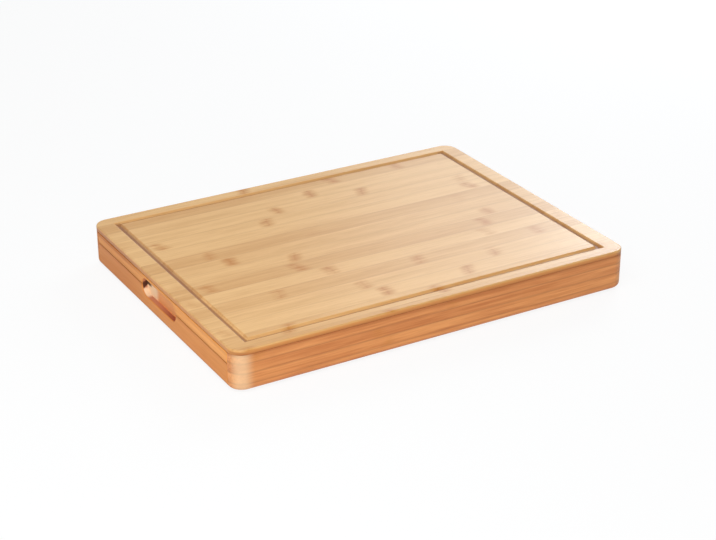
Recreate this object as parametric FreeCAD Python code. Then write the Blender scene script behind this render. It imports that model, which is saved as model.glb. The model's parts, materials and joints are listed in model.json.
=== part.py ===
import FreeCAD, Part
import os

# A bamboo cutting board over an open-ended carcass, with a drawer and its tray at each end.
# Millimetres. +X runs along the long side, +Y away from the near side, +Z up.
# The origin is on the table, under the middle of the board.

# Top board: a thin lip all round over the rails and fronts, thicker in the middle
board_length = 400.0
board_width = 300.0
corner_radius = 13.0
lip_thickness = 5.0
core_drop = 4.0
core_side_gap = 0.3
core_end_gap = 1.0
top_edge_radius = 1.2
seam_chamfer = 0.6

# Juice groove: a round-bottomed channel, measured from the board's edges to its middle
groove_width = 6.0
groove_depth = 2.4
groove_end_inset = 19.5
groove_side_inset = 16.0

# Carcass: two rails, a panel housed in them that the drawers slide on, and a divider between the bays
ground_gap = 1.5
rail_height = 33.5
rail_width = 13.0
rail_bottom_radius = 4.5
panel_lift = 2.0
panel_thickness = 3.5
panel_housing = 5.0
panel_end_gap = 0.6
divider_thickness = 12.0

# Feet: rubber pads under the panel, placed from the board's edges
foot_diameter = 18.0
foot_chamfer = 0.8
foot_end_inset = 42.0
foot_side_inset = 34.0

# Drawer front, with a line between its two strips
front_thickness = 14.0
front_side_gap = 0.6
front_top_gap = 0.8
front_bottom_gap = 0.6
front_chamfer = 0.5
upper_strip_height = 10.0
strip_line_width = 0.8
strip_line_depth = 0.5

# Finger pull: a stadium pocket in the front, with a slot through the front above the pocket's back wall
pull_length = 72.0
pull_height = 17.0
pull_depth = 6.0
pull_top_margin = 2.5
pull_wall_height = 10.8
pull_rim_radius = 0.8

# Drawer walls, with a rebate along the inner top edge for the tray's rim
wall_thickness = 10.0
wall_side_gap = 0.5
wall_top_gap = 1.0
stop_gap = 1.0
rebate_width = 5.0
rebate_depth = 1.2

# Tray: pressed sheet with sloping walls, hung by its rim, with room for the fingers in front of it
sheet_thickness = 0.8
rim_gap = 0.4
rim_corner_radius = 9.0
well_wall_gap = 2.4
well_corner_radius = 16.0
well_slope_run = 2.0
well_bottom_radius = 5.0
tray_floor_gap = 1.0
finger_room = 14.0

# Dowels: a pair at each joint, in the end of one piece and part of the way through the other
dowel_diameter = 5.0
dowel_hole_gap = 0.05
dowel_pitch = 10.0
dowel_in_end = 16.0
dowel_face_share = 0.7
dowel_end_gap = 0.5

# How far a cutting block reaches past the face that it cuts
overrun = 2.0

# The least cosine between two directions that count as one
same_way_share = 0.999

# Levels above the table, worked out from the sizes above
rail_bottom = ground_gap
rail_top = rail_bottom + rail_height
board_top = rail_top + lip_thickness
core_bottom = rail_top - core_drop
panel_bottom = rail_bottom + panel_lift
panel_top = panel_bottom + panel_thickness
front_top = rail_top - front_top_gap
strip_line = front_top - upper_strip_height
pull_top = front_top - pull_top_margin
pull_middle = pull_top - pull_height / 2
wall_top = core_bottom - wall_top_gap
ledge_top = wall_top - rebate_depth
dowel_middle = (panel_top + ledge_top) / 2

# Distances from the middle of the board
half_length = board_length / 2
half_width = board_width / 2
bay_half_width = half_width - rail_width
front_inner = half_length - front_thickness
wall_outer = bay_half_width - wall_side_gap
wall_inner = wall_outer - wall_thickness
drawer_back = divider_thickness / 2 + stop_gap
inner_wall_face = drawer_back + wall_thickness

X = FreeCAD.Vector(1, 0, 0)
Y = FreeCAD.Vector(0, 1, 0)
Z = FreeCAD.Vector(0, 0, 1)
centre = FreeCAD.Vector(0, 0, 0)


# Basic shapes

def both(half):
    """Limits the same distance either side of the middle."""
    return (-half, half)


def block(x, y, z):
    """Box between three pairs of limits."""
    corner = FreeCAD.Vector(x[0], y[0], z[0])
    return Part.makeBox(x[1] - x[0], y[1] - y[0], z[1] - z[0], corner)


def upright_edges(shape):
    """Edges that run along Z."""
    return [edge for edge in shape.Edges if edge.BoundBox.ZLength > edge.Length / 2]


def outermost_face(shape, side):
    """The flat face that looks to one side and lies furthest that way."""
    flat = [face for face in shape.Faces if isinstance(face.Surface, Part.Plane)]
    facing = [face for face in flat if face.normalAt(0, 0).dot(side) > same_way_share]
    return max(facing, key=lambda face: face.CenterOfMass.dot(side))


def rounded_block(x, y, radius, z):
    """Box with its upright edges rounded."""
    sharp = block(x, y, z)
    return sharp.makeFillet(radius, upright_edges(sharp))


def export(name, shape):
    """Writes one node."""
    shape.exportStep(os.path.join("parts", name + ".step"))


def export_both_ends(name, shape):
    """Writes a drawer piece for the left end, and its mirror image for the right."""
    export("left_" + name, shape)
    export("right_" + name, shape.mirror(centre, X))


# Dowels and the holes for them

def dowel_pairs(start, axis, length, gap, end_gap):
    """Two dowels one above the other, and two more mirrored to the far side. With a gap, their holes."""
    made = []
    for height in (dowel_middle - dowel_pitch / 2, dowel_middle + dowel_pitch / 2):
        base = FreeCAD.Vector(start.x, start.y, height) + axis * end_gap
        pin = Part.makeCylinder(dowel_diameter / 2 + gap, length - 2 * end_gap, base, axis)
        made += [pin, pin.mirror(centre, Y)]
    return made


def carcass_dowels(gap, end_gap):
    """From the ends of the divider into the rails."""
    start = FreeCAD.Vector(0, bay_half_width - dowel_in_end, 0)
    return dowel_pairs(start, Y, dowel_in_end + rail_width * dowel_face_share, gap, end_gap)


def front_dowels(gap, end_gap):
    """From the ends of the left drawer's side walls into its front."""
    in_front = front_thickness * dowel_face_share
    start = FreeCAD.Vector(-front_inner - in_front, wall_outer - wall_thickness / 2, 0)
    return dowel_pairs(start, X, in_front + dowel_in_end, gap, end_gap)


def inner_wall_dowels(gap, end_gap):
    """From the ends of the left drawer's inner wall into its side walls."""
    start = FreeCAD.Vector(-drawer_back - wall_thickness / 2, wall_inner - dowel_in_end, 0)
    return dowel_pairs(start, Y, dowel_in_end + wall_thickness * dowel_face_share, gap, end_gap)


# Top board

def juice_groove():
    """Four round-bottomed channels that cross at the corners."""
    radius = (groove_width ** 2 / 4 + groove_depth ** 2) / (2 * groove_depth)
    level = board_top - groove_depth + radius
    reach_x = half_length - groove_end_inset
    reach_y = half_width - groove_side_inset
    end_x = reach_x + groove_width / 2
    end_y = reach_y + groove_width / 2
    channels = []
    for side in (-1, 1):
        along = FreeCAD.Vector(-end_x, side * reach_y, level)
        across = FreeCAD.Vector(side * reach_x, -end_y, level)
        channels.append(Part.makeCylinder(radius, 2 * end_x, along, X))
        channels.append(Part.makeCylinder(radius, 2 * end_y, across, Y))
    return channels


def top_board():
    lip = rounded_block(both(half_length), both(half_width), corner_radius, (rail_top, board_top))
    lip = lip.makeFillet(top_edge_radius, outermost_face(lip, Z).Edges)
    lip = lip.makeChamfer(seam_chamfer, outermost_face(lip, -Z).Edges)
    core_x = both(front_inner - core_end_gap)
    core_y = both(bay_half_width - core_side_gap)
    core = block(core_x, core_y, (core_bottom, rail_top))
    return lip.fuse(core).removeSplitter().cut(juice_groove())


# Carcass pieces

def carcass_outline():
    """The rails and the drawer fronts as one block."""
    outline = rounded_block(both(half_length), both(half_width), corner_radius, (rail_bottom, rail_top))
    outline = outline.makeFillet(rail_bottom_radius, outermost_face(outline, -Z).Edges)
    return outline.makeChamfer(seam_chamfer, outermost_face(outline, Z).Edges)


def bottom_panel():
    half_x = front_inner - panel_end_gap
    half_y = bay_half_width + panel_housing
    return block(both(half_x), both(half_y), (panel_bottom, panel_top))


def near_rail():
    beyond = block(both(board_length), (-bay_half_width, board_width), both(board_length))
    return carcass_outline().cut([beyond, bottom_panel()] + carcass_dowels(dowel_hole_gap, 0))


def centre_divider():
    divider = block(both(divider_thickness / 2), both(bay_half_width), (panel_top, core_bottom))
    return divider.cut(carcass_dowels(dowel_hole_gap, 0))


def foot(side_x, side_y):
    x = side_x * (half_length - foot_end_inset)
    y = side_y * (half_width - foot_side_inset)
    pad = Part.makeCylinder(foot_diameter / 2, panel_bottom, FreeCAD.Vector(x, y, 0))
    return pad.makeChamfer(foot_chamfer, outermost_face(pad, -Z).Edges)


# Drawer pieces, made for the left end

def pull_prism(depth):
    """The finger pull's stadium outline, cut in from the end of the board."""
    radius = pull_height / 2
    straight = pull_length / 2 - radius
    x = (-half_length - overrun, -half_length + depth)
    prism = block(x, both(straight), (pull_middle - radius, pull_middle + radius))
    for side in (-1, 1):
        start = FreeCAD.Vector(x[0], side * straight, pull_middle)
        prism = prism.fuse(Part.makeCylinder(radius, x[1] - x[0], start, X))
    return prism.removeSplitter()


def finger_slot():
    """The upper part of the pull, carried on through the front."""
    sill = pull_top - pull_height + pull_wall_height
    above = block(both(board_length), both(board_width), (sill, board_top))
    return pull_prism(front_thickness + overrun).common(above)


def drawer_front():
    x = (-half_length - overrun, -front_inner)
    z = (rail_bottom + front_bottom_gap, front_top)
    front = carcass_outline().common(block(x, both(bay_half_width - front_side_gap), z))
    front = front.cut(pull_prism(pull_depth))
    face = outermost_face(front, -X)
    pull_rim = [wire for wire in face.Wires if not wire.isSame(face.OuterWire)][0]
    front = front.makeFillet(pull_rim_radius, pull_rim.Edges)
    outline = outermost_face(front, -X).OuterWire
    upper_edges = [edge for edge in outline.Edges if edge.BoundBox.ZMax > strip_line]
    front = front.makeChamfer(front_chamfer, upper_edges)
    line_x = (-half_length - overrun, -half_length + strip_line_depth)
    line_z = (strip_line - strip_line_width / 2, strip_line + strip_line_width / 2)
    line = block(line_x, both(half_width), line_z)
    return front.cut([line, finger_slot()] + front_dowels(dowel_hole_gap, 0))


def tray_rebate():
    """The step round the top of the walls that takes the tray's rim."""
    x = (-front_inner - overrun, -inner_wall_face + rebate_width)
    return block(x, both(wall_inner + rebate_width), (ledge_top, wall_top + overrun))


def near_wall():
    wall = block((-front_inner, -drawer_back), (-wall_outer, -wall_inner), (panel_top, wall_top))
    holes = front_dowels(dowel_hole_gap, 0) + inner_wall_dowels(dowel_hole_gap, 0)
    return wall.cut([tray_rebate()] + holes)


def inner_wall():
    wall = block((-inner_wall_face, -drawer_back), both(wall_inner), (panel_top, wall_top))
    return wall.cut([tray_rebate()] + inner_wall_dowels(dowel_hole_gap, 0))


def drawer_dowels():
    return Part.makeCompound(front_dowels(0, dowel_end_gap) + inner_wall_dowels(0, dowel_end_gap))


def tray():
    rim_overhang = rebate_width - rim_gap
    rim_width = rim_overhang + well_wall_gap
    rim_x = (-front_inner + finger_room, -inner_wall_face + rim_overhang)
    rim_half_y = wall_inner + rim_overhang
    rim_top = ledge_top + sheet_thickness
    floor = panel_top + tray_floor_gap

    def well_outline(inset, level):
        """Closed wire round the well at one height."""
        x = (rim_x[0] + rim_width + inset, rim_x[1] - rim_width - inset)
        y = both(rim_half_y - rim_width - inset)
        ring = rounded_block(x, y, well_corner_radius - inset, (level, level + sheet_thickness))
        return outermost_face(ring, -Z).OuterWire

    def well(inset, bottom):
        """The outside of the well, or with the sheet's thickness as inset its hollow."""
        low = well_outline(inset + well_slope_run, bottom)
        high = well_outline(inset, rim_top)
        form = Part.makeLoft([low, high], True, True)
        return form.makeFillet(well_bottom_radius - inset, outermost_face(form, -Z).Edges)

    rim = rounded_block(rim_x, both(rim_half_y), rim_corner_radius, (ledge_top, rim_top))
    shell = rim.fuse(well(0, floor)).removeSplitter()
    return shell.cut(well(sheet_thickness, floor + sheet_thickness))


os.makedirs("parts", exist_ok=True)

export("top_board", top_board())
export("near_rail", near_rail())
export("far_rail", near_rail().mirror(centre, Y))
export("bottom_panel", bottom_panel())
export("centre_divider", centre_divider())
export("carcass_dowels", Part.makeCompound(carcass_dowels(0, dowel_end_gap)))
for side_y, side_name in ((-1, "near"), (1, "far")):
    for side_x, end_name in ((-1, "left"), (1, "right")):
        export("foot_" + side_name + "_" + end_name, foot(side_x, side_y))

export_both_ends("drawer_front", drawer_front())
export_both_ends("drawer_near_wall", near_wall())
export_both_ends("drawer_far_wall", near_wall().mirror(centre, Y))
export_both_ends("drawer_inner_wall", inner_wall())
export_both_ends("drawer_dowels", drawer_dowels())
export_both_ends("tray", tray())
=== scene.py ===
import json
import math

import bmesh
import bpy
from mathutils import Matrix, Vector


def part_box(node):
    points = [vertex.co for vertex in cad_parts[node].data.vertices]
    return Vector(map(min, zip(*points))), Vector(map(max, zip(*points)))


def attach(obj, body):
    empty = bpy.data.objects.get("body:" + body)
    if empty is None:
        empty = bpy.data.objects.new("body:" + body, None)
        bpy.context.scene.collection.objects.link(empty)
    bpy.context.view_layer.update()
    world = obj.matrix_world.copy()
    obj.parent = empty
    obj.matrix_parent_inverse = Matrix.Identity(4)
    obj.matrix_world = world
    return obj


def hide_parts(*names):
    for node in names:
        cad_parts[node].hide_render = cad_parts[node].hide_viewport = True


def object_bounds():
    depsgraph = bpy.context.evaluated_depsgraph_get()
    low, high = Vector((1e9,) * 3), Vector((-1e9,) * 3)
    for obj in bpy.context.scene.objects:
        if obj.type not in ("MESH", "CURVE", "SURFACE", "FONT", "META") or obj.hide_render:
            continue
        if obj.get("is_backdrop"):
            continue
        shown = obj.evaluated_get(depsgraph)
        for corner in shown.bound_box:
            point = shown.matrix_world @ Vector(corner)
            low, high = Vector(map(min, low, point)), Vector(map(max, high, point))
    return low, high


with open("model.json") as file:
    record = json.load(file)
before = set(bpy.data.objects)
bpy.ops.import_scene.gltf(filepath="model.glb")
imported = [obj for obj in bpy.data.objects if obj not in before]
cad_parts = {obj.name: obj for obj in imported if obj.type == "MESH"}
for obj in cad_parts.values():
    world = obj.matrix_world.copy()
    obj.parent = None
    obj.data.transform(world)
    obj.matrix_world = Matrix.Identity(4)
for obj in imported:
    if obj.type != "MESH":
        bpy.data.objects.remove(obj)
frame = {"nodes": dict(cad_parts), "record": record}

cad_low, cad_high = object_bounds()


# Rails: the two long sides of the carcass, each a block of bamboo strips glued one on another and oiled.
# The outer ends are rounded to the corners of the board, and the outer lower edge is routed round.
# Glue and dowels hold them to the divider, and the bottom panel sits in a slot along the inner face.

mm = 0.001
rail_end_radius = 13 * mm
rail_bottom_radius = 4.5 * mm
seam_ease = 0.6 * mm
hand_ease = 0.4 * mm
merge_distance = 0.01 * mm
smooth_angle = math.radians(32)
corner_steps = 12
body_of = {node: body for body, held in frame["record"]["behaviour"]["bodies"].items() for node in held}


def round_corners(bm, corners, radius, segments):
    """Rounds the corners of a flat outline to a radius."""
    bmesh.ops.bevel(bm, geom=corners, offset=radius, offset_type="OFFSET", affect="VERTICES",
                    segments=segments, profile=0.5, material=-1)


def rounded_sheet(bm, low, high, level, radius):
    """A flat rectangle with rounded corners, added to a bmesh as one face."""
    corners = bmesh.ops.create_grid(bm, x_segments=1, y_segments=1, size=0.5)["verts"]
    bmesh.ops.scale(bm, vec=(high.x - low.x, high.y - low.y, 1), verts=corners)
    bmesh.ops.translate(bm, vec=((low.x + high.x) / 2, (low.y + high.y) / 2, level), verts=corners)
    before = set(bm.faces) - set(corners[0].link_faces)
    round_corners(bm, corners, radius, corner_steps)
    return [f for f in bm.faces if f not in before][0]


def pull_face(bm, face, move):
    """Extrudes a face and moves its copy, with the face itself left where it was."""
    pulled = bmesh.ops.extrude_face_region(bm, geom=[face])["geom"]
    bmesh.ops.translate(bm, vec=move, verts=[v for v in pulled if isinstance(v, bmesh.types.BMVert)])


def rounded_slab(low, high, radius):
    """A bmesh slab between two corners, with its upright edges rounded."""
    bm = bmesh.new()
    pull_face(bm, rounded_sheet(bm, low, high, high.z, radius), (0, 0, low.z - high.z))
    bmesh.ops.recalc_face_normals(bm, faces=bm.faces)
    return bm


def edges_at(bm, axis, value):
    """Edges that lie in the plane where one coordinate has one value."""
    return [e for e in bm.edges if all(abs(v.co[axis] - value) < merge_distance for v in e.verts)]


def round_edges(bm, edges, radius, segments):
    """Rounds edges to a radius."""
    bmesh.ops.bevel(bm, geom=edges, offset=radius, offset_type="OFFSET", affect="EDGES",
                    segments=segments, profile=0.5, material=-1, clamp_overlap=True)


def finish_piece(bm, name, material, node):
    """Makes a bmesh into a piece that stands for a CAD node and moves with the node's body."""
    bmesh.ops.remove_doubles(bm, verts=bm.verts, dist=merge_distance)
    bmesh.ops.recalc_face_normals(bm, faces=bm.faces)
    mesh = bpy.data.meshes.new(name)
    bm.to_mesh(mesh)
    bm.free()
    mesh.materials.append(material)
    mesh.polygons.foreach_set("use_smooth", [True] * len(mesh.polygons))
    mesh.set_sharp_from_angle(angle=smooth_angle)
    piece = bpy.data.objects.new(name, mesh)
    bpy.context.scene.collection.objects.link(piece)
    flat_faces = piece.modifiers.new("flat_faces", "WEIGHTED_NORMAL")
    flat_faces.keep_sharp = True
    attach(piece, body_of[node])
    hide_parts(node)
    return piece


def paint(red, green, blue):
    """A screen colour, each part from 0 to 255, as the linear colour that a shader takes."""
    parts = [part / 255 for part in (red, green, blue)]
    return [p / 12.92 if p <= 0.04045 else ((p + 0.055) / 1.055) ** 2.4 for p in parts] + [1.0]


class Field:
    """A number or colour that varies over a surface. Sums and products of fields add shader nodes."""

    def __init__(self, finish, output):
        self.finish = finish
        self.output = output

    def __add__(self, other):
        return self.finish.maths("ADD", self, other)

    def __sub__(self, other):
        return self.finish.maths("SUBTRACT", self, other)

    def __mul__(self, other):
        return self.finish.maths("MULTIPLY", self, other)

    def __truediv__(self, other):
        return self.finish.maths("DIVIDE", self, other)


class Finish:
    """A procedural material. Its methods add shader nodes and give back what they make as fields."""

    def __init__(self, name):
        self.material = bpy.data.materials.new(name)
        self.material.use_nodes = True
        self.tree = self.material.node_tree
        self.shader = self.tree.nodes["Principled BSDF"]

    def feed(self, socket, value):
        """Links a field to a socket, or sets the socket to a plain value."""
        if isinstance(value, Field):
            self.tree.links.new(value.output, socket)
        else:
            socket.default_value = value

    def surface(self, **values):
        """Feeds the shader's sockets, named with _ for each space."""
        for name, value in values.items():
            self.feed(self.shader.inputs[name.replace("_", " ")], value)

    def add(self, kind, inputs, output=0, **settings):
        """Adds a node with its settings, feeds its sockets by name or number and gives back one output."""
        made = self.tree.nodes.new(kind)
        for name, value in settings.items():
            setattr(made, name, value)
        for socket, value in inputs.items():
            self.feed(made.inputs[socket], value)
        return Field(self, made.outputs[output])

    def axes(self):
        """The piece's own X, Y and Z in millimetres."""
        place = self.add("ShaderNodeTexCoord", {}, "Object")
        scaled = self.add("ShaderNodeVectorMath", {0: place, 1: (1 / mm,) * 3}, operation="MULTIPLY")
        return {axis: self.add("ShaderNodeSeparateXYZ", {0: scaled}, axis) for axis in "XYZ"}

    def point(self, x, y, z):
        return self.add("ShaderNodeCombineXYZ", {0: x, 1: y, 2: z})

    def maths(self, operation, *values):
        return self.add("ShaderNodeMath", dict(enumerate(values)), operation=operation)

    def size(self, value):
        """A value without its sign."""
        return self.maths("ABSOLUTE", value)

    def rise(self, value, start, end):
        """Goes smoothly from 0 to 1 as a value goes from start to end."""
        inputs = {"Value": value, "From Min": start, "From Max": end}
        return self.add("ShaderNodeMapRange", inputs, interpolation_type="SMOOTHSTEP")

    def noise(self, place, lengths, detail=2.0):
        """Noise either side of 0, with waves of a length in millimetres on each axis."""
        stretched = self.add("ShaderNodeVectorMath", {0: place, 1: lengths}, operation="DIVIDE")
        return self.add("ShaderNodeTexNoise", {"Vector": stretched, "Scale": 1.0, "Detail": detail}) - 0.5

    def lot(self, first, second=0.5):
        """Three values between 0 and 1, drawn by lot for one or two whole numbers."""
        drawn = self.add("ShaderNodeTexWhiteNoise", {"Vector": self.point(first, second, 0.5)}, "Color")
        return [self.add("ShaderNodeSeparateColor", {0: drawn}, part) for part in range(3)]

    def mix(self, share, first, second):
        """Two colours mixed, from all of the first at 0 to all of the second at 1."""
        return self.add("ShaderNodeMix", {0: share, 6: first, 7: second}, 2, data_type="RGBA")

    def tint(self, share, colour):
        """Works a colour into the base colour: the wood's own marks, and also painted light and shade."""
        self.colour = self.mix(share, self.colour, colour)
        self.surface(Base_Color=self.colour)

    def bump(self, height, depth):
        """Raises the surface by a height from 0 to 1, times a depth in metres."""
        raised = self.add("ShaderNodeBump", {"Height": height, "Distance": depth, "Strength": 1.0})
        self.surface(Normal=raised)


joint_brown = paint(184, 114, 26)
fibre_brown = paint(164, 104, 56)
glue_brown = paint(146, 84, 38)


def bamboo(name, grain, strip, offset, pale, deep, contrast, glue, joint_pitch, joint_share, gloss):
    """Oiled bamboo in glued strips. grain names the axes along the fibres, across the strips and through
    them. Each strip has its own tone, streaks and flecks, and brown smudges where the cane had joints."""
    wood = Finish(name)
    wood.axis = wood.axes()
    along, across, through = (wood.axis[letter] for letter in grain)
    count = (across + offset) / strip
    number = wood.maths("FLOOR", count)
    in_strip = wood.maths("FRACT", count)
    tone, shift, start = wood.lot(number)
    place = wood.point(along + shift * 900.0, across, through + tone * 300.0)

    clouds = wood.noise(place, (150.0, 9.0, 9.0))
    streaks = wood.noise(place, (90.0, 2.6, 2.6))
    dashes = wood.noise(place, (26.0, 1.9, 1.9))
    fibres = wood.noise(place, (60.0, 0.9, 0.9), 3.0)
    flecks = wood.rise(wood.noise(place, (13.0, 0.5, 0.5), 1.0), 0.1, 0.26)

    turns = along / joint_pitch + start
    lot_shift, lot_share, lot_bend = wood.lot(number, wood.maths("FLOOR", turns))
    off_middle = in_strip - 0.5
    bend = off_middle * (lot_bend - 0.5) * 16.0
    blot = wood.noise(place, (16.0, 5.0, 5.0), 3.0)
    from_joint = (wood.maths("FRACT", turns) - 0.5 + (lot_shift - 0.5) * 0.6) * joint_pitch + bend
    distance = wood.size(from_joint + blot * 8.0)
    smudge = wood.rise(distance, 10.0, 1.5) * wood.rise(blot + streaks, -0.4, 0.15)
    ridge = wood.rise(distance, 1.8, 0.4)
    fade = wood.rise(wood.size(off_middle), 0.52, 0.3)
    joint = (smudge * 0.8 + ridge * 0.2) * fade * wood.rise(lot_share, 0.0, 0.85) * joint_share

    glue_line = wood.rise(wood.maths("PINGPONG", in_strip, 0.5) * strip, 1.5, 0.1)
    shade = (tone - 0.5) * contrast + clouds + streaks * 0.6 + dashes * 0.6 + fibres * 0.5 + 0.5
    wood.colour = wood.mix(wood.rise(shade, -0.1, 1.1), pale, deep)
    wood.tint(flecks * 0.22, fibre_brown)
    wood.tint(joint, joint_brown)
    wood.tint(glue_line * glue, glue_brown)
    wood.surface(Roughness=fibres * 0.2 + clouds * 0.16 + gloss)
    wood.bump(fibres * 0.7 + streaks * 0.3 - glue_line * 0.4, 0.06 * mm)
    return wood


rail_wood = bamboo("rail_bamboo", grain="XZY", strip=9.4, offset=1.0, pale=paint(232, 160, 92),
                   deep=paint(186, 108, 50), contrast=0.4, glue=0.38, joint_pitch=190.0,
                   joint_share=0.3, gloss=0.5)
seam_and_shade_brown = paint(164, 92, 38)
painted_shade_brown = paint(160, 78, 38)
painted_highlight_pale = paint(230, 198, 156)
rail_height = rail_wood.axis["Z"]
under_lip = rail_wood.rise(rail_height, 31.8, 34.6)
bottom_shade = rail_wood.rise(rail_height, 7.5, 3.0)
at_left_end = rail_wood.rise(rail_wood.axis["X"], -180.0, -191.0)
at_outside = rail_wood.rise(rail_wood.size(rail_wood.axis["Y"]), 139.0, 148.0)
# Painted shade: the rail darkens just under the lip, along its seam with the top board.
rail_wood.tint(under_lip * 0.6, seam_and_shade_brown)
# Painted shade: the rail darkens towards its rounded lower edge.
rail_wood.tint(bottom_shade * 0.35, painted_shade_brown)
# Painted highlight: a pale band on the outer faces of the rounded corners at the left end.
rail_wood.tint(at_left_end * at_outside * 0.56, painted_highlight_pale)

panel_low, panel_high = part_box("bottom_panel")
for name, side in (("near_rail", -1), ("far_rail", 1)):
    low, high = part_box(name)
    inner = high.y if side < 0 else low.y
    depth = panel_high.y * side - inner
    rail = rounded_slab(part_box("near_rail")[0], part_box("far_rail")[1], rail_end_radius)
    round_edges(rail, edges_at(rail, 2, low.z), rail_bottom_radius, 8)
    round_edges(rail, edges_at(rail, 2, high.z), seam_ease, 2)
    kept = rail.verts[:] + rail.edges[:] + rail.faces[:]
    cut = bmesh.ops.bisect_plane(rail, geom=kept, dist=merge_distance, plane_co=(0, inner, 0),
                                 plane_no=(0, -side, 0), clear_outer=True)["geom_cut"]
    outline = [e for e in cut if isinstance(e, bmesh.types.BMEdge)]
    bmesh.ops.contextual_create(rail, geom=outline)
    for corner in (panel_low, panel_high):
        for way in (Vector((1, 0, 0)), Vector((0, 0, 1))):
            flat = [f for f in rail.faces if all(abs(v.co.y - inner) < merge_distance for v in f.verts)]
            parts = set(flat) | {e for f in flat for e in f.edges} | {v for f in flat for v in f.verts}
            bmesh.ops.bisect_plane(rail, geom=list(parts), dist=merge_distance, plane_co=corner, plane_no=way)
    slot_middle = Vector((0, inner, (panel_low.z + panel_high.z) / 2))
    slot = min(rail.faces, key=lambda f: (f.calc_center_median() - slot_middle).length)
    pull_face(rail, slot, (0, depth, 0))
    bmesh.ops.delete(rail, geom=[slot], context="FACES_ONLY")
    finish_piece(rail, name + "_wood", rail_wood.material, name)


# Bottom panel: a sheet of thin bamboo ply that closes the carcass below and carries the drawers.
# Its long edges sit in the slots of the rails, and it ends just short of the drawer fronts.

panel_wood = bamboo("panel_ply", grain="XYZ", strip=24.0, offset=7.0, pale=paint(226, 178, 116),
                    deep=paint(198, 144, 84), contrast=0.6, glue=0.2, joint_pitch=210.0,
                    joint_share=0.6, gloss=0.6)
flat_angle = math.radians(0.5)
sharp_angle = math.radians(50)
shortest_eased = 3 * mm


def eased_copy(node):
    """A merged copy of a CAD node as a bmesh, with its long sharp edges eased as by sandpaper."""
    bm = bmesh.new()
    bm.from_mesh(frame["nodes"][node].data)
    bmesh.ops.remove_doubles(bm, verts=bm.verts, dist=merge_distance)
    bmesh.ops.dissolve_limit(bm, angle_limit=flat_angle, verts=bm.verts, edges=bm.edges)
    sharp = [e for e in bm.edges if e.is_manifold and e.calc_face_angle() > sharp_angle]
    long_ones = [e for e in sharp if e.calc_length() > shortest_eased]
    round_edges(bm, long_ones, hand_ease, 2)
    return bm


finish_piece(eased_copy("bottom_panel"), "bottom_sheet", panel_wood.material, "bottom_panel")


# Divider and carcass dowels: a bamboo bar across the middle, which ties the rails and stops both drawers.
# Two plain hardwood dowels at each end run on into the rails.

def inner_bamboo(name, grain):
    """The plain sanded bamboo of the hidden bars."""
    return bamboo(name, grain, strip=7.6, offset=0.6, pale=paint(232, 186, 124), deep=paint(206, 152, 92),
                  contrast=0.6, glue=0.25, joint_pitch=180.0, joint_share=0.45, gloss=0.58)


inner_wood = inner_bamboo("inner_bamboo", "XZY")
cross_wood = inner_bamboo("cross_bamboo", "YZX")

divider = eased_copy("centre_divider")
finish_piece(divider, "divider_bar", cross_wood.material, "centre_divider")

dowel_wood = Finish("dowel_beech")
dowel_axis = dowel_wood.axes()
dowel_place = dowel_wood.point(dowel_axis["X"], dowel_axis["Y"], dowel_axis["Z"])
dowel_grain = dowel_wood.noise(dowel_place, (1.6, 1.6, 0.4), 3.0)
dowel_wood.colour = dowel_wood.mix(dowel_grain + 0.5, paint(222, 190, 148), paint(186, 146, 104))
dowel_wood.surface(Base_Color=dowel_wood.colour, Roughness=dowel_grain + 0.7)
dowel_wood.bump(dowel_grain, 0.1 * mm)
for name in ("carcass_dowels", "left_drawer_dowels", "right_drawer_dowels"):
    frame["nodes"][name].data.materials[0] = dowel_wood.material


# Feet: four moulded rubber pads glued under the panel, so that the board neither slides nor marks the table.
# Each has an eased rim, a ring pressed into its sole and a dimple in the middle.

foot_rubber = Finish("foot_rubber")
foot_axis = foot_rubber.axes()
foot_place = foot_rubber.point(foot_axis["X"], foot_axis["Y"], foot_axis["Z"])
foot_grain = foot_rubber.noise(foot_place, (0.33, 0.33, 0.33), 3.0)
foot_dust = foot_rubber.noise(foot_place, (4.0, 4.0, 4.0))
foot_rubber.colour = foot_rubber.mix(foot_grain * 0.5 + foot_dust + 0.5, paint(34, 34, 35), paint(62, 60, 58))
foot_rubber.surface(Base_Color=foot_rubber.colour, Roughness=foot_grain * 0.2 + 0.72)
foot_rubber.bump(foot_grain, 0.05 * mm)

foot_segments = 64
foot_rim_ease = 0.8 * mm
ring_from_edge = 2.6 * mm
ring_width = 0.9 * mm
ring_depth = 0.5 * mm
dimple_from_ring = 2.4 * mm

for name in ("foot_near_left", "foot_near_right", "foot_far_left", "foot_far_right"):
    low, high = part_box(name)
    radius = (high.x - low.x) / 2
    foot = bmesh.new()
    bmesh.ops.create_circle(foot, cap_ends=True, radius=radius, segments=foot_segments)
    glued_face = foot.faces[:][0]
    bmesh.ops.translate(foot, vec=((low.x + high.x) / 2, (low.y + high.y) / 2, high.z), verts=foot.verts)
    pull_face(foot, glued_face, (0, 0, low.z - high.z))
    bmesh.ops.recalc_face_normals(foot, faces=foot.faces)
    round_edges(foot, edges_at(foot, 2, low.z), foot_rim_ease, 4)
    sole = [f for f in foot.faces if f.normal.z < -0.99 and len(f.verts) == foot_segments]
    sole_steps = [(ring_from_edge, 0), (ring_width / 2, -ring_depth), (ring_width / 2, ring_depth),
                  (dimple_from_ring, 0), (ring_width, -ring_depth)]
    for inwards, outwards in sole_steps:
        bmesh.ops.inset_region(foot, faces=sole, thickness=inwards, depth=outwards, use_even_offset=True)
    finish_piece(foot, name.replace("foot", "pad"), foot_rubber.material, name)


# Drawer fronts: the bamboo ends of the board, each of two strips with the lighter one on top. A finger pull
# is routed into the middle, and a slot goes on through the front above its back wall. The pull's tones are
# read
# from the photograph: its light back and pale far end are painted light, and its ledge, dark red at the near
# part, and the near-black band at its ends are painted shade.

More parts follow.
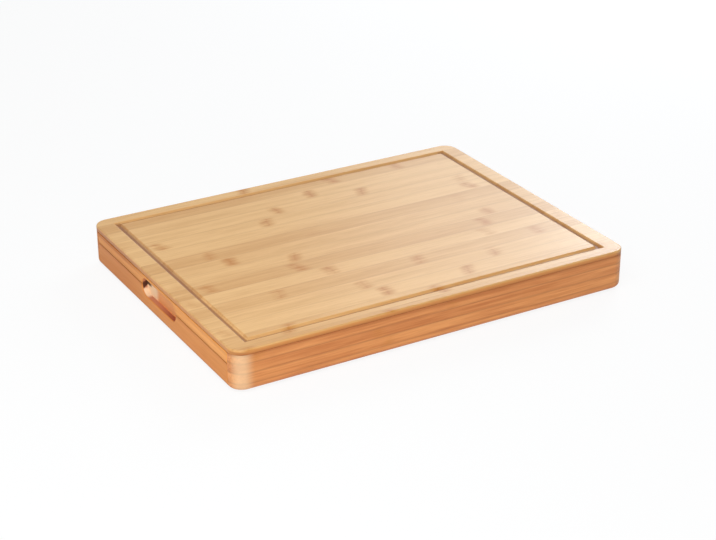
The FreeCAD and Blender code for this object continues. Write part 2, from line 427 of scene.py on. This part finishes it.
front_wood = bamboo("front_bamboo", grain="YZX", strip=40.0, offset=4.0, pale=paint(242, 170, 92),
                    deep=paint(216, 140, 68), contrast=0.0, glue=0.0, joint_pitch=150.0,
                    joint_share=0.4, gloss=0.5)
front_wood.surface(Specular_IOR_Level=0.2)
lower_strip_brown = paint(202, 124, 62)
pull_back_painted_light = paint(240, 168, 110)
ledge_shade_mauve = paint(186, 116, 118)
ledge_shade_red = paint(152, 68, 42)
far_end_painted_light = paint(252, 222, 184)
pull_shade_black = paint(70, 34, 20)
front_face = cad_high.x / mm
strip_line = 24.2
shade_slant = 0.6

front_height = front_wood.axis["Z"]
front_side = front_wood.axis["Y"]
off_centre = front_wood.size(front_side)
from_middle = front_wood.size(front_wood.axis["X"])
lower_strip = front_wood.rise(front_height, strip_line + 0.3, strip_line - 0.3)
on_strip_line = front_wood.rise(front_wood.size(front_height - strip_line), 2.8, 0.4)
bottom_shade = front_wood.rise(front_height, 7.5, 3.0)
at_top = front_wood.rise(front_height, 30.5, 32.5)
far_half = front_wood.rise(front_side, 10.0, 80.0)
front_wood.tint(lower_strip * 0.5, lower_strip_brown)
# The joint of the two strips is a dark line, widened by painted shade.
front_wood.tint(on_strip_line * 0.4, seam_and_shade_brown)
# Painted shade: the front darkens towards its rounded lower edge.
front_wood.tint(bottom_shade * 0.35, painted_shade_brown)
# Painted shade: the far half is darker, most of all in a band just under the lip.
front_wood.tint(far_half * (at_top * 0.35 + 0.2), painted_shade_brown)

in_depth = front_wood.rise(from_middle, 199.4, 198.6) * front_wood.rise(from_middle, 186.2, 186.8)
in_height = front_wood.rise(front_height, 13.8, 14.4) * front_wood.rise(front_height, 32.6, 32.0)
in_pull = in_depth * in_height * front_wood.rise(off_centre, 37.0, 36.4)
on_back = in_pull * front_wood.rise(from_middle, 195.2, 194.4)
on_ledge = in_pull * front_wood.rise(from_middle, 194.4, 195.2)
near_ledge = on_ledge * front_wood.rise(front_side, 8.0, -26.0)
far_back = on_back * front_wood.rise(front_side, 10.0, 20.0)
far_ledge = on_ledge * front_wood.rise(front_side, 22.0, 29.0) * front_wood.rise(front_height, 20.5, 18.0)
# A slanted band near the top of the pull's ends, where the painted shade goes near black.
shade_height = front_height + (from_middle - front_face) * shade_slant
in_pull_shade = front_wood.rise(shade_height, 17.4, 19.0) * front_wood.rise(shade_height, 25.4, 23.0)
pull_ends = in_pull * front_wood.rise(off_centre, 26.0, 31.0)
# Painted light on the pull's back wall and far end, and painted shade on its ledge and at its ends.
front_wood.tint(on_back * 0.8, pull_back_painted_light)
front_wood.tint(on_ledge * 0.45, ledge_shade_mauve)
front_wood.tint(near_ledge * 0.75, ledge_shade_red)
front_wood.tint((far_back + far_ledge) * 0.88, far_end_painted_light)
front_wood.tint(pull_ends * in_pull_shade * 0.92, pull_shade_black)

for end in ("left", "right"):
    node = end + "_drawer_front"
    finish_piece(eased_copy(node), end + "_front_wood", front_wood.material, node)


# Drawer walls: three bamboo bars behind each front, with a step along the top for the tray's rim.
# They are butted and dowelled at the corners.

for end in ("left", "right"):
    for part, wood in (("near_wall", inner_wood), ("far_wall", inner_wood), ("inner_wall", cross_wood)):
        node = end + "_drawer_" + part
        finish_piece(eased_copy(node), end + "_" + part + "_wood", wood.material, node)


# Trays: shallow wells pressed from satin stainless sheet, each hung in its drawer by a flat rim.
# The press leaves a round at the rim, a wider one round the floor and a raised field that keeps it stiff.

steel = Finish("tray_steel")
steel_axis = steel.axes()
steel_place = steel.point(steel_axis["X"], steel_axis["Y"], steel_axis["Z"])
brushing = steel.noise(steel_place, (50.0, 0.2, 0.2), 3.0)
smears = steel.noise(steel_place, (33.0, 50.0, 33.0), 3.0)
steel.colour = steel.mix(brushing + 0.5, paint(168, 170, 172), paint(190, 191, 191))
steel.surface(Base_Color=steel.colour, Metallic=1.0, Roughness=brushing * 0.2 + smears * 0.25 + 0.34)
steel.bump(brushing, 0.01 * mm)

sheet = 0.8 * mm
rim_width = 7.0 * mm
rim_corner_radius = 9 * mm
well_corner_radius = 16 * mm
well_slope_run = 2.0 * mm
rim_bend_radius = 1.4 * mm
floor_radius = 4.2 * mm
rim_bend_steps = 5
floor_bend_steps = 8
field_inset = 9 * mm
field_rise = 0.7 * mm

for end in ("left", "right"):
    node = end + "_tray"
    low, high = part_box(node)
    tray = bmesh.new()
    margin = Vector((1, 1, 0)) * (rim_width + sheet - rim_bend_radius)
    rim_outline = rounded_sheet(tray, low, high, high.z, rim_corner_radius)
    rim_edges = list(rim_outline.edges)
    bmesh.ops.delete(tray, geom=[rim_outline], context="FACES_ONLY")
    mouth = rounded_sheet(tray, low + margin, high - margin, high.z, well_corner_radius + rim_bend_radius)
    bmesh.ops.bridge_loops(tray, edges=rim_edges + list(mouth.edges))
    bmesh.ops.recalc_face_normals(tray, faces=tray.faces)

    lean = math.atan2(well_slope_run, high.z - low.z)
    turn = math.pi / 2 - lean
    rim_angles = [i / rim_bend_steps * turn for i in range(rim_bend_steps + 1)]
    rim_steps = []
    for a, b in zip(rim_angles, rim_angles[1:]):
        across = rim_bend_radius * (math.sin(b) - math.sin(a))
        down = rim_bend_radius * (math.cos(a) - math.cos(b))
        rim_steps.append((across, down))
    floor_angles = [lean + i / floor_bend_steps * turn for i in range(floor_bend_steps + 1)]
    floor_steps = []
    for a, b in zip(floor_angles, floor_angles[1:]):
        across = floor_radius * (math.cos(a) - math.cos(b))
        down = floor_radius * (math.sin(b) - math.sin(a))
        floor_steps.append((across, down))
    depth = high.z - low.z - sheet
    straight = depth - sum(down for _, down in rim_steps + floor_steps)
    wall_step = (straight * math.tan(lean), straight)
    field_steps = [(field_inset, 0), (field_rise, -field_rise / 2), (field_rise, -field_rise / 2)]
    for across, down in rim_steps + [wall_step] + floor_steps + field_steps:
        bmesh.ops.inset_region(tray, faces=[mouth], thickness=across, depth=-down, use_even_offset=True)
    bmesh.ops.solidify(tray, geom=tray.faces[:], thickness=sheet)
    finish_piece(tray, end + "_tray_steel", steel.material, node)


# Top board: flat-pressed bamboo strips 20 mm wide, sanded and oiled, with a juice groove routed all round.
# It is glued down on the rails and the divider. Its lip covers the drawer fronts and its core drops
# between them. The groove's floor is darkened, partly as painted shade, and its walls are darker where they
# cut across the fibres, on the right and on the far part of the left. The lip carries painted shade low on
# the long sides and on the far part of its ends.

top_corner_radius = 13 * mm
lip_thickness = 5 * mm
top_edge_radius = 1.2 * mm
groove_end_inset = 19.5 * mm
groove_side_inset = 16 * mm
groove_width = 6 * mm
groove_depth = 2.4 * mm
core_half_length = 185 * mm
core_half_width = 136.7 * mm
groove_steps = 12

low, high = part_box("top_board")

top_wood = bamboo("top_bamboo", grain="XYZ", strip=20.0, offset=204.0, pale=paint(229, 183, 121),
                  deep=paint(203, 150, 86), contrast=0.55, glue=0.12, joint_pitch=150.0,
                  joint_share=0.85, gloss=0.5)
top_wood.surface(Specular_IOR_Level=0.0, Coat_Weight=0.8, Coat_Roughness=0.36)
cut_and_shade_brown = paint(148, 94, 54)
lip_tan = paint(206, 136, 66)
top_height = top_wood.axis["Z"]
from_centre_x = top_wood.size(top_wood.axis["X"])
from_centre_y = top_wood.size(top_wood.axis["Y"])
past_end_groove = from_centre_x - (high.x - groove_end_inset) / mm
past_side_groove = from_centre_y - (high.y - groove_side_inset) / mm
groove_floor = top_wood.rise(top_height, 38.3, 37.6)
# The groove's floor is darker: painted shade, together with some darker cut wood.
top_wood.tint(groove_floor * 0.8, cut_and_shade_brown)

across_fibres = top_wood.rise(top_wood.size(past_end_groove), 3.6, 3.0)
groove_wall = top_wood.rise(top_height, 39.6, 38.6)
right_half = top_wood.rise(top_wood.axis["X"], -50.0, 50.0)
far_part = top_wood.rise(top_wood.axis["Y"], -50.0, -10.0)
right_or_far_part = top_wood.maths("MAXIMUM", right_half, far_part)
# The groove's walls are darker where they cut across the fibres, on the right and on the far part of the
# left.
top_wood.tint(across_fibres * groove_wall * right_or_far_part * 0.45, cut_and_shade_brown)

on_border = top_wood.rise(top_wood.maths("MAXIMUM", past_end_groove, past_side_groove), 6.0, 10.0)
at_corner = top_wood.rise(top_wood.maths("MINIMUM", past_end_groove, past_side_groove), 4.0, 11.0)
below_top = top_wood.rise(top_height, 39.4, 38.2)
top_wood.tint(on_border * below_top * (at_corner * -0.5 + 0.85), lip_tan)

on_ends = top_wood.rise(from_centre_x, 194.0, 199.0)
far_ends = on_ends * top_wood.rise(top_wood.axis["Y"], 10.0, 80.0)
lip_side = top_wood.rise(top_height, 39.0, 37.4)
# Painted shade: the lip's side is darker on the far part of both ends.
top_wood.tint(far_ends * lip_side * 0.5, seam_and_shade_brown)
on_long_sides = top_wood.rise(from_centre_y, 144.0, 149.0)
lip_bottom = top_wood.rise(top_height, 37.6, 35.4)
# Painted shade: the lip on the long sides darkens down to its seam with the rails.
top_wood.tint(on_long_sides * lip_bottom * 0.6, seam_and_shade_brown)

lip_low = Vector((low.x, low.y, high.z - lip_thickness))
board = rounded_slab(lip_low, high, top_corner_radius)
round_edges(board, edges_at(board, 2, high.z), top_edge_radius, 8)
round_edges(board, edges_at(board, 2, lip_low.z), seam_ease, 2)


def widest_face(bm, up):
    """The widest face that looks up, or down with up at -1."""
    return max((f for f in bm.faces if f.normal.z * up > 0.99), key=lambda f: f.calc_area())


def squared_inset(bm, face, half_length, half_width):
    """Insets a face with rounded corners to a square-cornered rectangle of a given size."""
    bmesh.ops.inset_region(bm, faces=[face], thickness=mm, use_even_offset=True)
    for v in face.verts:
        v.co.x = math.copysign(half_length, v.co.x)
        v.co.y = math.copysign(half_width, v.co.y)
    bmesh.ops.remove_doubles(bm, verts=face.verts, dist=merge_distance)


squared_inset(board, widest_face(board, 1), high.x - groove_end_inset + groove_width / 2,
              high.y - groove_side_inset + groove_width / 2)
top = widest_face(board, 1)
rims = list(top.edges)
arc_radius = (groove_width ** 2 / 4 + groove_depth ** 2) / (2 * groove_depth)
half_angle = math.asin(groove_width / 2 / arc_radius)
angles = [half_angle * (2 * i / groove_steps - 1) for i in range(groove_steps + 1)]
for a, b in zip(angles, angles[1:]):
    across = arc_radius * (math.sin(b) - math.sin(a))
    down = arc_radius * (math.cos(b) - math.cos(a))
    bmesh.ops.inset_region(board, faces=[top], thickness=across, depth=-down, use_even_offset=True)
rims += list(top.edges)
round_edges(board, rims, hand_ease, 3)

squared_inset(board, widest_face(board, -1), core_half_length, core_half_width)
under = widest_face(board, -1)
pull_face(board, under, (0, 0, low.z - lip_low.z))
bmesh.ops.delete(board, geom=[under], context="FACES_ONLY")
finish_piece(board, "top_board_wood", top_wood.material, "top_board")


# Floor, light and camera: a plain pale floor and soft studio light, seen from the photograph's side.
# The two lamps behind are slightly cool, and the floor glows where it is seen, so that it stays near white.

floor_white = 0.88


def plain_sight(tree):
    """An output that is 1 for rays that see a place, straight, mirrored or through glass, and otherwise 0."""
    paths = tree.nodes.new("ShaderNodeLightPath").outputs
    seen = paths["Is Camera Ray"]
    for kind in ("Is Glossy Ray", "Is Transmission Ray"):
        either = tree.nodes.new("ShaderNodeMath")
        either.operation = "MAXIMUM"
        tree.links.new(seen, either.inputs[0])
        tree.links.new(paths[kind], either.inputs[1])
        seen = either.outputs[0]
    return seen


floor_finish = Finish("floor")
floor_finish.surface(Base_Color=(0.9, 0.9, 0.9, 1), Roughness=0.9, Specular_IOR_Level=0.1)
glow = floor_finish.add("ShaderNodeEmission", {"Color": (1, 1, 1, 1), "Strength": 1.0})
seen = Field(floor_finish, plain_sight(floor_finish.tree))
lit = Field(floor_finish, floor_finish.shader.outputs[0])
blend = floor_finish.add("ShaderNodeMixShader", {0: seen * floor_white, 1: lit, 2: glow})
floor_finish.feed(floor_finish.tree.nodes["Material Output"].inputs["Surface"], blend)

floor_mesh = bpy.data.meshes.new("floor")
ground = bmesh.new()
bmesh.ops.create_circle(ground, cap_ends=True, radius=30, segments=64)
ground.to_mesh(floor_mesh)
ground.free()
floor_mesh.materials.append(floor_finish.material)
floor = bpy.data.objects.new("floor", floor_mesh)
bpy.context.scene.collection.objects.link(floor)
floor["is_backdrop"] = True

world = bpy.data.worlds.new("studio")
bpy.context.scene.world = world
world.use_nodes = True
sky = world.node_tree
ambient = sky.nodes["Background"]
ambient.inputs["Color"].default_value = (1, 1, 1, 1)
ambient.inputs["Strength"].default_value = 0.34
backdrop = sky.nodes.new("ShaderNodeBackground")
backdrop.inputs["Color"].default_value = (1, 1, 1, 1)
choice = sky.nodes.new("ShaderNodeMixShader")
sky.links.new(plain_sight(sky), choice.inputs[0])
sky.links.new(ambient.outputs[0], choice.inputs[1])
sky.links.new(backdrop.outputs[0], choice.inputs[2])
sky.links.new(choice.outputs[0], sky.nodes["World Output"].inputs["Surface"])


def softbox(name, place, aim, size, watts, colour=(1, 1, 1)):
    """A square area lamp that faces a point."""
    data = bpy.data.lights.new(name, "AREA")
    data.size = size
    data.energy = watts
    data.color = colour
    lamp = bpy.data.objects.new(name, data)
    lamp.location = place
    lamp.rotation_euler = (Vector(place) - Vector(aim)).to_track_quat("Z", "Y").to_euler()
    bpy.context.scene.collection.objects.link(lamp)


daylight = (0.79, 0.9, 1.0)
softbox("key_light", (1.52, 1.58, 0.98), (0, 0, 0), 1.1, 10.5, daylight)
softbox("side_light", (1.19, 0.69, 0.61), (0, 0, 0), 0.7, 9.5, daylight)
softbox("fill_light", (-1.0, -1.4, 0.38), (0, 0, 0), 1.0, 10.5)
softbox("top_light", (-0.52, -0.5, 0.92), (0, 0, 0), 0.8, 6.9)

aim = Vector((-13.91, -29.23, 19.5)) * mm
azimuth = math.radians(-30.06)
elevation = math.radians(25.75)
camera_distance = 1590.9 * mm
level_way = Vector((math.sin(azimuth), -math.cos(azimuth), 0)) * math.cos(elevation)
view_way = level_way + Vector((0, 0, math.sin(elevation)))
camera_data = bpy.data.cameras.new("camera")
camera_data.lens = 87.31
camera_data.sensor_width = 36
camera = bpy.data.objects.new("camera", camera_data)
camera.location = aim + view_way * camera_distance
camera.rotation_euler = view_way.to_track_quat("Z", "Y").to_euler()
bpy.context.scene.collection.objects.link(camera)
bpy.context.scene.camera = camera
bpy.context.scene.view_settings.view_transform = "Standard"


# The box of the finished pieces, beside the CAD box found before them.

low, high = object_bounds()
